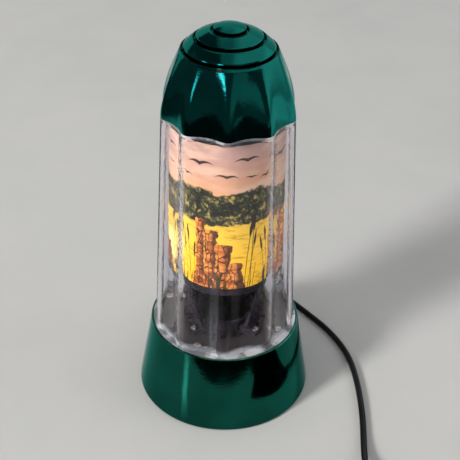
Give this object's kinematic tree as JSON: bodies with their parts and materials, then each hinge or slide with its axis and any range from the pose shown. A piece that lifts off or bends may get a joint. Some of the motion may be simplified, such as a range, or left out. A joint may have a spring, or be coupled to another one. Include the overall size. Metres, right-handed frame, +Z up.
{
  "type": "rotating motion lamp",
  "caption": "Table lamp with a clear fluted shade and metallised base and cap; a vaned printed drum turns on a needle over the bulb behind a fixed printed film.",
  "frame": {"origin": "on the floor under the middle of the round base", "axes": "+Z up along the lamp's axis, -Y towards the viewer, a ridge of the shade facing -Y, the cord leaving behind at +Y"},
  "size_m": [0.1758, 0.3516, 0.2863],
  "materials": {
    "green_metal": "metallised bottle green, mirror gloss",
    "clear_plastic": "clear polished",
    "black_plastic": "fine satin",
    "deck_plastic": "satin grey brown",
    "film_print": "printed translucent film",
    "rubber": "matte",
    "cord_rubber": "glossy",
    "steel": "zinc plated",
    "brass": "plain",
    "socket_plastic": "moulded",
    "aluminium_cap": "bright",
    "bulb_glass": "inside frosted, lit warm",
    "insulator": "black glass",
    "vane_metal": "thin sheet"
  },
  "bodies": {
    "base": {"base_shell": "green_metal", "bottom_cover": "black_plastic", "rubber_feet": "rubber", "cover_screws": "steel", "base_deck": "deck_plastic", "deck_screws": "steel", "cord_clamp": "black_plastic", "clamp_screws": "steel", "lamp_socket": "socket_plastic", "socket_shell": "brass", "socket_contact": "brass", "socket_strap": "steel", "socket_screws": "steel", "inner_cord": "cord_rubber", "socket_leads": "cord_rubber", "film_stand": "black_plastic", "stand_screws": "steel", "static_film": "film_print", "film_ring": "black_plastic", "wire_bail": "steel", "pivot_needle": "steel", "strain_relief": "cord_rubber", "cord_run": "cord_rubber", "cord_tail": "cord_rubber", "cord_coil": "cord_rubber", "cord_tie": "black_plastic", "cord_end": "cord_rubber", "switch_base": "black_plastic", "switch_cover": "black_plastic", "switch_screws": "steel", "plug_body": "black_plastic", "plug_blades": "brass"},
    "shade": {"shade_shell": "clear_plastic"},
    "cap": {"cap_dome": "green_metal"},
    "drum": {"drum_film": "film_print", "drum_hoop": "black_plastic", "vane_wheel": "vane_metal", "pivot_cup": "brass"},
    "bulb": {"bulb_glass": "bulb_glass", "bulb_cap": "aluminium_cap", "bulb_insulator": "insulator", "bulb_tip": "brass", "bulb_stem": "bulb_glass", "bulb_filament": "steel"},
    "rocker": {"switch_rocker": "black_plastic"}
  },
  "joints": [
    {"name": "shade_lift", "type": "slide", "parent": "base", "child": "shade", "axis": [0, 0, 1], "range_m": [0, 0.18]},
    {"name": "cap_lift", "type": "slide", "parent": "shade", "child": "cap", "axis": [0, 0, 1], "range_m": [0, 0.02]},
    {"name": "drum_spin", "type": "hinge", "parent": "base", "child": "drum", "pos_m": [0, 0, 0.204], "axis": [0, 0, 1], "continuous": true},
    {"name": "bulb_unscrew", "type": "slide", "parent": "base", "child": "bulb", "axis": [0, 0, 1], "range_m": [0, 0.026]},
    {"name": "switch_rock", "type": "hinge", "parent": "base", "child": "rocker", "pos_m": [0.0994, -0.147, 0.008], "axis": [1, 0, 0], "range_deg": [-20, 0]}
  ]
}
